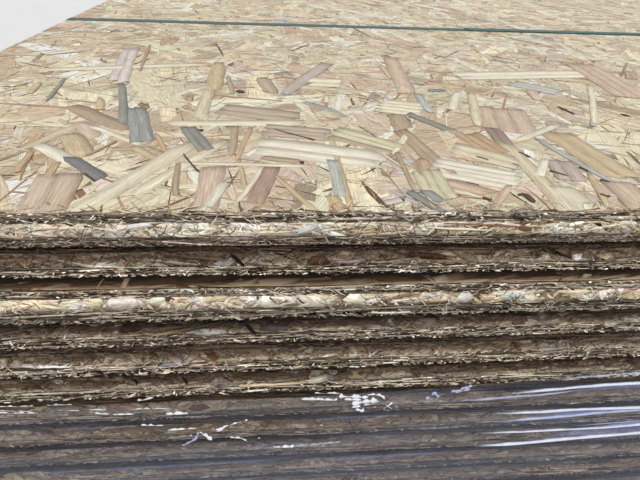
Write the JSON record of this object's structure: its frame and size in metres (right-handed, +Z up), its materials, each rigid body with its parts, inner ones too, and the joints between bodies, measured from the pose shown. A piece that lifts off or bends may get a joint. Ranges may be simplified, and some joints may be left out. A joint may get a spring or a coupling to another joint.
{
  "type": "stack of osb panels",
  "caption": "Stack of oriented strand board panels laid a little out of square, the lower ones wrapped in clear stretch film, with a flat plastic strap round the stack near each end.",
  "frame": {"origin": "on the floor, under the middle of the stack's plan", "axes": "+Y along the panels' length, away from the end that the picture shows; +X along that end, to the right as the picture shows it; +Z up"},
  "size_m": [1.2526, 2.4642, 0.4227],
  "materials": {
    "osb_panel": "raw",
    "film": "gloss",
    "strap": "satin"
  },
  "bodies": {
    "root": {"panel_01": "osb_panel", "panel_02": "osb_panel", "panel_03": "osb_panel", "panel_04": "osb_panel", "panel_05": "osb_panel", "panel_06": "osb_panel", "panel_07": "osb_panel", "panel_08": "osb_panel", "panel_09": "osb_panel", "panel_10": "osb_panel", "panel_11": "osb_panel", "panel_12": "osb_panel", "panel_13": "osb_panel", "panel_14": "osb_panel", "panel_15": "osb_panel", "panel_16": "osb_panel", "panel_17": "osb_panel", "panel_18": "osb_panel", "panel_19": "osb_panel", "panel_20": "osb_panel", "panel_21": "osb_panel", "panel_22": "osb_panel", "panel_23": "osb_panel", "panel_24": "osb_panel", "panel_25": "osb_panel", "panel_26": "osb_panel", "panel_27": "osb_panel", "panel_28": "osb_panel", "stretch_film": "film", "strap_front": "strap", "strap_back": "strap"}
  },
  "joints": []
}
